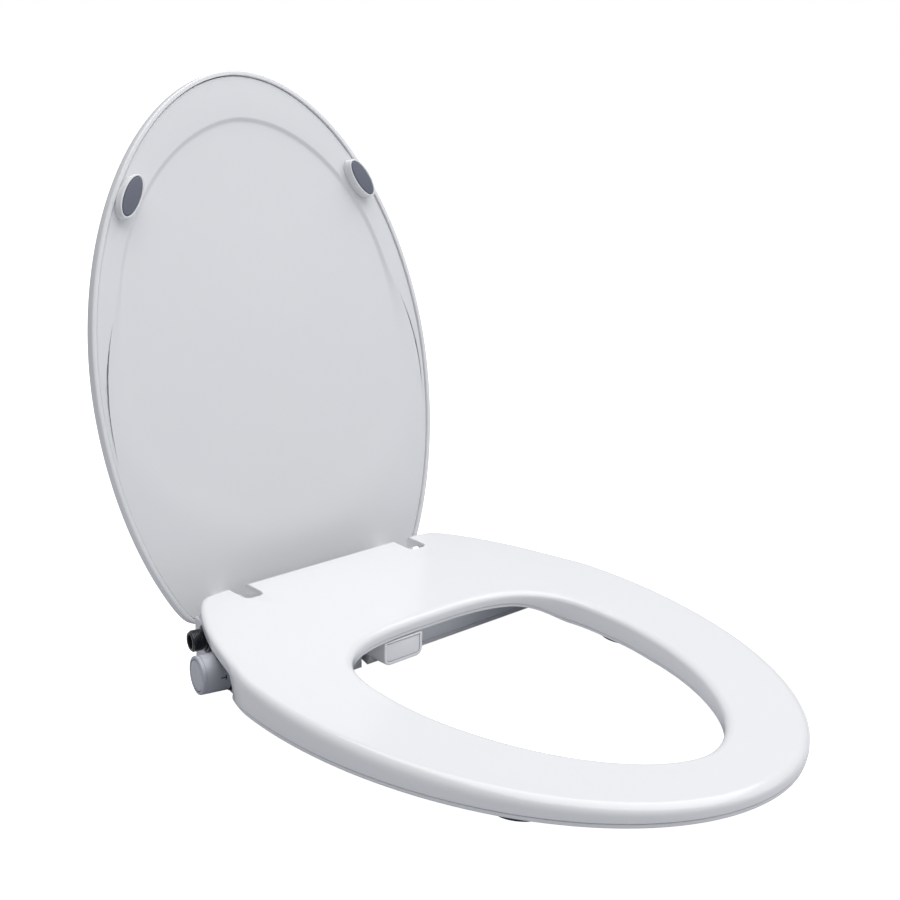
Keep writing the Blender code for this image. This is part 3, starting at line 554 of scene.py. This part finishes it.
for place, (x, y) in FOOT_PLACES.items():
    turn = atan2(-x / RING_HALF_WIDTH ** 2, (y - RING_CENTRE_Y) / RING_FRONT ** 2) + pi
    loops = []
    for inset, z in ((0.0024, 0.0), (0.0012, 0.0003), (0.0004, 0.0011), (0.0, 0.0022),
                     (0.0, LOWER_Z - 0.0014), (0.0007, LOWER_Z - 0.0003)):
        loops.append(oval_loop(Vector((x, y, z)), FOOT_LENGTH - inset, FOOT_WIDTH - inset, turn))
    finished(skin(loops), f"foot_{place}", "seat", RUBBER, (f"seat_bumper_{place}",))

# ---------------------------------------------------------------------------
# Lid arms: two moulded hinge arms that rise through the slots in the deck, each with a round boss
# on the hinge axis and a web that runs up into the lid.
HINGE_BOSS, HINGE_BORE = 0.009, 0.0038
ARM_LOW_X, ARM_HIGH_X = 0.0803, 0.0945


def softened(bm, width, segments=3, sharp=30.0):
    """Rounds every edge that turns more sharply than the given angle."""
    outward_faces(bm)
    edges = [e for e in bm.edges if len(e.link_faces) == 2 and e.calc_face_angle(0.0) > radians(sharp)]
    bmesh.ops.bevel(bm, geom=edges, offset=width, segments=segments, profile=0.5, affect="EDGES",
                    material=-1, clamp_overlap=True)
    return bm


def disc(centre, axis, radius, count):
    """One closed loop of points round an axis."""
    turn = Vector(axis).to_track_quat("Z", "Y").to_matrix()
    return [centre + turn @ Vector((radius * cos(2 * pi * k / count), radius * sin(2 * pi * k / count),
                                    0.0))
            for k in range(count)]


def lathe(start, axis, profile, count=72, ring=False):
    """A turned piece: (radius, distance along the axis) for each step of its profile."""
    axis = Vector(axis).normalized()
    return skin([disc(start + axis * far, axis, max(radius, 1e-5), count) for radius, far in profile], ring)


for side, name in ((-1, "right"), (1, "left")):
    outline = [(HINGE_BOSS * cos(pi + k * pi / 24), HINGE_BOSS * sin(pi + k * pi / 24)) for k in range(25)]
    top = LID_FACE - 0.0004
    outline += [(0.0050, top * 0.45), (0.0030, top), (-0.0115, top), (-0.0125, top * 0.45)]
    loops = [[Vector((side * x, y, z)) for y, z in outline] for x in (ARM_LOW_X, ARM_HIGH_X)]
    bm = softened(skin(loops), 0.0009)
    bm.transform(LID_REST)
    arm = finished(bm, f"lid_arm_{name}", "lid", GLOSS_WHITE, (f"lid_hinge_arm_{name}",))
    carve(arm, lathe(PIVOT + Vector((side * 0.070, 0.0, 0.0)), (side, 0, 0),
                     ((HINGE_BORE, 0.0), (HINGE_BORE, 0.035)), 40))

# ---------------------------------------------------------------------------
# Lid bumpers: an oval white cup moulded on each side of the inner panel, holding a grey rubber
# pad that lands on the seat when the lid comes down.
BUMPER_X, BUMPER_Y, BUMPER_REACH = 0.1165, -0.340, 0.0240
CUP_HALF_WIDTH, CUP_HALF_LENGTH, CUP_WALL = 0.009, 0.019, 0.0020
lean = atan2((BUMPER_Y - RING_CENTRE_Y) / LID_FRONT ** 2, BUMPER_X / LID_HALF_WIDTH ** 2)
for side, name in ((-1, "right"), (1, "left")):
    def cup_loop(inset, height):
        return oval_loop(Vector((side * BUMPER_X, BUMPER_Y, height)), CUP_HALF_WIDTH - inset,
                         CUP_HALF_LENGTH - inset, side * lean, 64)
    foot = BUMPER_REACH
    cup = [cup_loop(0.0, LID_FACE - 0.0003), cup_loop(0.0, foot + 0.0016), cup_loop(0.0002, foot + 0.0009),
           cup_loop(0.0007, foot + 0.0004), cup_loop(CUP_WALL - 0.0006, foot + 0.0004),
           cup_loop(CUP_WALL - 0.0001, foot + 0.0008), cup_loop(CUP_WALL, foot + 0.0012),
           cup_loop(CUP_WALL, LID_FACE - 0.0003)]
    bm = skin(cup, ring=True)
    bm.transform(LID_REST)
    finished(bm, f"lid_cup_{name}", "lid", GLOSS_WHITE, (f"lid_bumper_cup_{name}",))
    pad = [cup_loop(CUP_WALL + 0.0003, LID_FACE - 0.0013), cup_loop(CUP_WALL + 0.0003, foot + 0.0016)]
    pad += [cup_loop(CUP_WALL + 0.0003 + inset, foot + drop) for inset,
            drop in rounding(0.0009, 0.0012, 6)[1:]]
    bm = skin(pad)
    bm.transform(LID_REST)
    finished(bm, f"lid_pad_{name}", "lid", RUBBER, (f"lid_bumper_pad_{name}",))

# ---------------------------------------------------------------------------
# Base: a satin moulded box under the deck. Its side skins have softened edges; the right one is
# bored for the knob's stem and for the water inlet.
BASE_WHITE = moulded("white plastic, base", (0.70, 0.715, 0.745), (0.68, 0.70, 0.735), 0.34, 0.08, 1.0,
                     520.0, 0.16)
PANEL_FRONT, PANEL_REAR, PANEL_THICKNESS = Vector((0.154, -0.090, 0.0)), Vector((0.133, 0.0, 0.0)), 0.003
panel_lean = atan2(PANEL_FRONT.x - PANEL_REAR.x, PANEL_REAR.y - PANEL_FRONT.y)
OUTWARD = Vector((-cos(panel_lean), sin(panel_lean), 0.0))


def on_panel(y, z):
    slope = (PANEL_REAR.x - PANEL_FRONT.x) / (PANEL_REAR.y - PANEL_FRONT.y)
    return Vector((-(PANEL_FRONT.x + slope * (y - PANEL_FRONT.y)), y, z))


KNOB, INLET = on_panel(-0.0675, 0.0203), on_panel(-0.0235, 0.0278)
INLET_RADIUS = 0.0085


def dressed(look, *names):
    """Gives solids that keep their own shape their finish."""
    for name in names:
        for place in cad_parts[name].material_slots:
            place.material = look


for side, name in ((-1, "right"), (1, "left")):
    front, rear = on_panel(-0.0925, 0.0008), on_panel(0.004, 0.0008)
    corners = [rear + Vector((PANEL_THICKNESS, 0, 0)), front + Vector((PANEL_THICKNESS, 0, 0)), front, rear]
    corners = [Vector((-side * p.x, p.y, p.z)) for p in corners]
    bm = softened(skin([corners, [p + Vector((0, 0, 0.0344)) for p in corners]]), 0.0007)
    panel = finished(bm, f"base_skin_{name}", "base", BASE_WHITE,
                     (f"base_side_panel_{name}",))
    if side < 0:
        carve(panel, lathe(KNOB, OUTWARD, ((0.0060, -0.010), (0.0060, 0.010)), 48))
        carve(panel, lathe(INLET, OUTWARD, ((INLET_RADIUS + 0.0003, -0.010),
                                            (INLET_RADIUS + 0.0003, 0.010)), 48))
    else:
        button_way = bmesh.new()
        bmesh.ops.create_cube(button_way, size=1.0)
        bmesh.ops.scale(button_way, vec=(0.1, 0.0228, 0.0118), verts=button_way.verts)
        bmesh.ops.translate(button_way, vec=(0.15, -0.0460, 0.0130), verts=button_way.verts)
        carve(panel, button_way)
dressed(BASE_WHITE, "base_floor_plate", "base_lower_housing", "base_upper_cover", "mounting_plate",
        "hinge_block_inner_left", "hinge_block_inner_right", "hinge_block_outer_left",
        "hinge_block_outer_right", "valve_body", "valve_stem", "inlet_elbow_seat")
dressed(RUBBER, "base_pad_left", "base_pad_right")
dressed(UNDERSIDE_WHITE, "seat_hinge_arm_left", "seat_hinge_arm_right", "nozzle_holder")

# ---------------------------------------------------------------------------
# Knob: a satin grey barrel on the valve stem with a bright turned rim, a recessed cap and a
# plain pointer line, standing off a thin black collar on the side skin.
KNOB_GREY = moulded("satin grey plastic", (0.40, 0.41, 0.455), (0.43, 0.44, 0.485), 0.30, 0.07, 0.8, 700.0,
                    0.10)
# The cap is its own moulding, but its slightly lighter grey than the barrel is painted highlight standing in
# for light on the knob's front face.
CAP_GREY_PAINTED_HIGHLIGHT = moulded("brushed grey cap", (0.42, 0.43, 0.47), (0.46, 0.47, 0.51), 0.26, 0.06, 0.7, 900.0, 0.08)
GLOSS_BLACK = moulded("gloss black plastic", (0.022, 0.023, 0.028), (0.030, 0.032, 0.038), 0.20, 0.08, 0.6,
                      480.0, 0.08)
KNOB_RADIUS, KNOB_NEAR, KNOB_FAR = 0.0148, 0.0046, 0.0271
barrel = [(0.0, KNOB_NEAR + 0.018), (0.0038, KNOB_NEAR + 0.018), (0.0038, KNOB_NEAR),
          (KNOB_RADIUS - 0.0006, KNOB_NEAR), (KNOB_RADIUS - 0.0002, KNOB_NEAR + 0.0002),
          (KNOB_RADIUS, KNOB_NEAR + 0.0006), (KNOB_RADIUS, KNOB_FAR - 0.0036),
          (KNOB_RADIUS - 0.0003, KNOB_FAR - 0.0034), (KNOB_RADIUS - 0.0003, KNOB_FAR - 0.0030),
          (KNOB_RADIUS, KNOB_FAR - 0.0028)]
barrel += [(KNOB_RADIUS - inset, KNOB_FAR - drop) for inset, drop in
           ((0.0012 * (1 - cos(pi / 2 * k / 6)), 0.0012 * (1 - sin(pi / 2 * k / 6))) for k in range(7))]
barrel += [(KNOB_RADIUS - 0.0021, KNOB_FAR), (KNOB_RADIUS - 0.0024, KNOB_FAR - 0.0003),
           (KNOB_RADIUS - 0.0024, KNOB_FAR - 0.0012), (0.0, KNOB_FAR - 0.0012)]
finished(lathe(KNOB, OUTWARD, barrel, 96), "knob_barrel", "knob", KNOB_GREY, ("knob",), 40.0)
face = KNOB_FAR - 0.0002
cap = [(0.0, KNOB_FAR - 0.0009), (KNOB_RADIUS - 0.0030, KNOB_FAR - 0.0009),
       (KNOB_RADIUS - 0.0030, face - 0.0002),
       (KNOB_RADIUS - 0.0032, face), (0.0035, face), (0.0, face)]
bm = lathe(KNOB, OUTWARD, cap, 96)
finished(bm, "knob_face", "knob", CAP_GREY_PAINTED_HIGHLIGHT, ("knob_cap",))
ticks = bmesh.new()
for tilt in (radians(62), radians(4)):
    radial = Vector((0.0, -cos(tilt), sin(tilt)))
    radial = (radial - OUTWARD * radial.dot(OUTWARD)).normalized()
    around = OUTWARD.cross(radial)
    for shift, length, width in ((0.0090, 0.0008, 0.0034), (0.0112, 0.0036, 0.0007)):
        place = Matrix((around, radial, OUTWARD)).transposed().to_4x4()
        place.translation = KNOB + OUTWARD * shift + radial * (KNOB_RADIUS - 0.0001)
        bmesh.ops.create_cube(ticks, size=1.0, matrix=place @ Matrix.Diagonal((width, 0.0005, length, 1.0)))
finished(ticks, "knob_ticks", "knob", GLOSS_BLACK)
collar = [(0.0118, 0.0003), (0.0160, 0.0003), (0.0160, 0.0028), (0.0158, 0.0034), (0.0152, 0.0038),
          (0.0146, 0.0040), (0.0118, 0.0040)]
finished(lathe(KNOB, OUTWARD, collar, 80, ring=True), "knob_seat_ring", "base", GLOSS_BLACK,
         ("knob_collar",))

# ---------------------------------------------------------------------------
# Water inlet: a black threaded spigot through the side skin, backed by a flange, with a fine
# steel filter disc down its bore.
STEEL = moulded("brushed stainless steel", (0.56, 0.56, 0.57), (0.62, 0.62, 0.63), 0.26, 0.12, 0.8, 1100.0,
                0.10, 1.0)
REACH, CORE, PITCH_STEP = 0.0150, INLET_RADIUS - 0.0008, 0.00135
spigot = [(0.0055, -0.020), (INLET_RADIUS, -0.020), (INLET_RADIUS, -0.0070), (0.0112, -0.0070),
          (0.0112, -0.0034),
          (INLET_RADIUS, -0.0034), (INLET_RADIUS, 0.0042), (CORE, 0.0048), (CORE, REACH - 0.0010),
          (CORE - 0.0004, REACH - 0.0002), (CORE - 0.0008, REACH), (0.0060, REACH),
          (0.0055, REACH - 0.0005)]
bm = lathe(INLET, OUTWARD, spigot, 72, ring=True)
thread = bmesh.new()
ridge = [thread.verts.new((radius, 0.0, height)) for radius, height in
         ((CORE - 0.0003, 0.0), (INLET_RADIUS, 0.00052), (INLET_RADIUS, 0.00072), (CORE - 0.0003, 0.00124))]
ridge = [thread.edges.new(pair) for pair in zip(ridge, ridge[1:] + ridge[:1])]
turns, steps = 6, 6 * 48
bmesh.ops.spin(thread, geom=ridge + list({v for e in ridge for v in e.verts}), cent=(0, 0, 0),
               axis=(0, 0, 1),
               dvec=(0, 0, PITCH_STEP * turns / steps), angle=2 * pi * turns, steps=steps, use_merge=False)
bmesh.ops.holes_fill(thread, edges=[e for e in thread.edges if len(e.link_faces) < 2], sides=8)
outward_faces(thread)
thread.transform(Matrix.Translation(INLET + OUTWARD * 0.0050) @ OUTWARD.to_track_quat("Z",
                                                                                      "Y").to_matrix().to_4x4())
thread_mesh = bpy.data.meshes.new("thread")
thread.to_mesh(thread_mesh)
thread.free()
outward_faces(bm)
bm.from_mesh(thread_mesh)
bpy.data.meshes.remove(thread_mesh)
finished(bm, "inlet_thread", "base", GLOSS_BLACK, ("inlet_spigot",), 25.0)
flange = [(0.0092, 0.0003), (0.0112, 0.0003), (0.0112, 0.0028), (0.0110, 0.0032), (0.0106, 0.0034),
          (0.0092, 0.0034)]
finished(lathe(INLET, OUTWARD, flange, 72, ring=True), "inlet_flange", "base", GLOSS_BLACK,
         ("inlet_collar",))
dressed(STEEL, "inlet_filter", "hinge_pin_left", "hinge_pin_right", "adjuster_bush_left",
        "adjuster_bush_right")
dressed(GLOSS_BLACK, "soft_close_damper_left", "soft_close_damper_right")

# ---------------------------------------------------------------------------
# Wand guard: a shallow white hood on the nose of the base, square above and rounded at its lower
# corners, with a thin gate hung in its face. The gate isn't coupled to the wands, which come out
# below it.
GUARD_X, GUARD_HALF_WIDTH, GUARD_LOW, GUARD_HIGH, GUARD_FACE = -0.026, 0.0195, 0.0105, 0.0298, -0.1255


def tongue(inset, y, low, high):
    radius = max(0.006 - inset, 0.002)
    half = GUARD_HALF_WIDTH - inset
    points = [(half, high)]
    for centre, start in ((half - radius, 0.0), (-half + radius, -pi / 2)):
        for k in range(11):
            angle = start - k * pi / 20
            points.append((centre + radius * cos(angle), low + radius + radius * sin(angle)))
    points.append((-half, high))
    return [Vector((GUARD_X + x, y, z)) for x, z in points]


bm = softened(skin([tongue(0.0, GUARD_FACE, GUARD_LOW, GUARD_HIGH),
                    tongue(0.0, GUARD_FACE + 0.0255, GUARD_LOW, GUARD_HIGH)]), 0.0006)
hood = finished(bm, "wand_hood", "base", GLOSS_WHITE, ("nozzle_guard",))
room_inside = bmesh.new()
bmesh.ops.create_cube(room_inside, size=1.0)
bmesh.ops.scale(room_inside, vec=(0.034, 0.0321, 0.0294), verts=room_inside.verts)
bmesh.ops.translate(room_inside, vec=(GUARD_X, -0.10605, 0.0127), verts=room_inside.verts)
carve(hood, room_inside)
carve(hood, skin([tongue(0.0026, GUARD_FACE - 0.005, GUARD_LOW + 0.0026, 0.0288),
                  tongue(0.0026, GUARD_FACE + 0.007, GUARD_LOW + 0.0026, 0.0288)]))
gate = softened(skin([tongue(0.0030, GUARD_FACE + 0.0004, GUARD_LOW + 0.0030, 0.0280),
                      tongue(0.0030, GUARD_FACE + 0.0020, GUARD_LOW + 0.0030, 0.0280)]), 0.0003, 2)
finished(gate, "wand_gate", "gate", UNDERSIDE_WHITE, ("nozzle_gate",))

# ---------------------------------------------------------------------------
# Spray wands: two white plastic tubes that slide down and out, each with a rounded tip that has
# small spray holes along its upper side. Milky hoses feed them from the valve.
NOZZLE_PITCH, NOZZLE_RADIUS = radians(18), 0.0045
slide = Vector((0.0, -cos(NOZZLE_PITCH), -sin(NOZZLE_PITCH)))
above = Vector((0.0, -sin(NOZZLE_PITCH), cos(NOZZLE_PITCH)))
for x, name, holes in ((-0.0325, "rear", 4), (-0.0195, "front", 3)):
    tip = Vector((x, -0.104, 0.009))
    wand = [(0.0, -0.060), (NOZZLE_RADIUS - 0.0004, -0.060), (NOZZLE_RADIUS, -0.0596),
            (NOZZLE_RADIUS, -0.0087),
            (NOZZLE_RADIUS - 0.0004, -0.0083), (0.0, -0.0083)]
    finished(lathe(tip, slide, wand, 48), f"{name}_wand", f"{name}_wand",
             UNDERSIDE_WHITE,
             (f"{name}_nozzle",))
    end = [(0.0, -0.0080), (NOZZLE_RADIUS - 0.0003, -0.0080), (NOZZLE_RADIUS, -0.0077)]
    end += [(NOZZLE_RADIUS * cos(pi / 2 * k / 10),
             0.0030 * sin(pi / 2 * k / 10) - 0.0030) for k in range(11)]
    made = finished(lathe(tip, slide, end, 48), f"{name}_wand_tip", f"{name}_wand",
                    GLOSS_WHITE,
                    (f"{name}_nozzle_tip",))
    for k in range(holes):
        spot = tip + slide * (-0.0066 + 0.0011 * k) + above * 0.0040
        carve(made, lathe(spot, above, ((0.00032, -0.0006), (0.00032, 0.0010)), 16))
MILKY = moulded("milky hose plastic", (0.66, 0.70, 0.74), (0.70, 0.73, 0.77), 0.32, 0.05, 0.5, 300.0, 0.06)
dressed(MILKY, "front_hose", "rear_hose")

# ---------------------------------------------------------------------------
# Release button: a small grey push button in the left skin that frees the seat from its plate.
dressed(KNOB_GREY, "release_button")
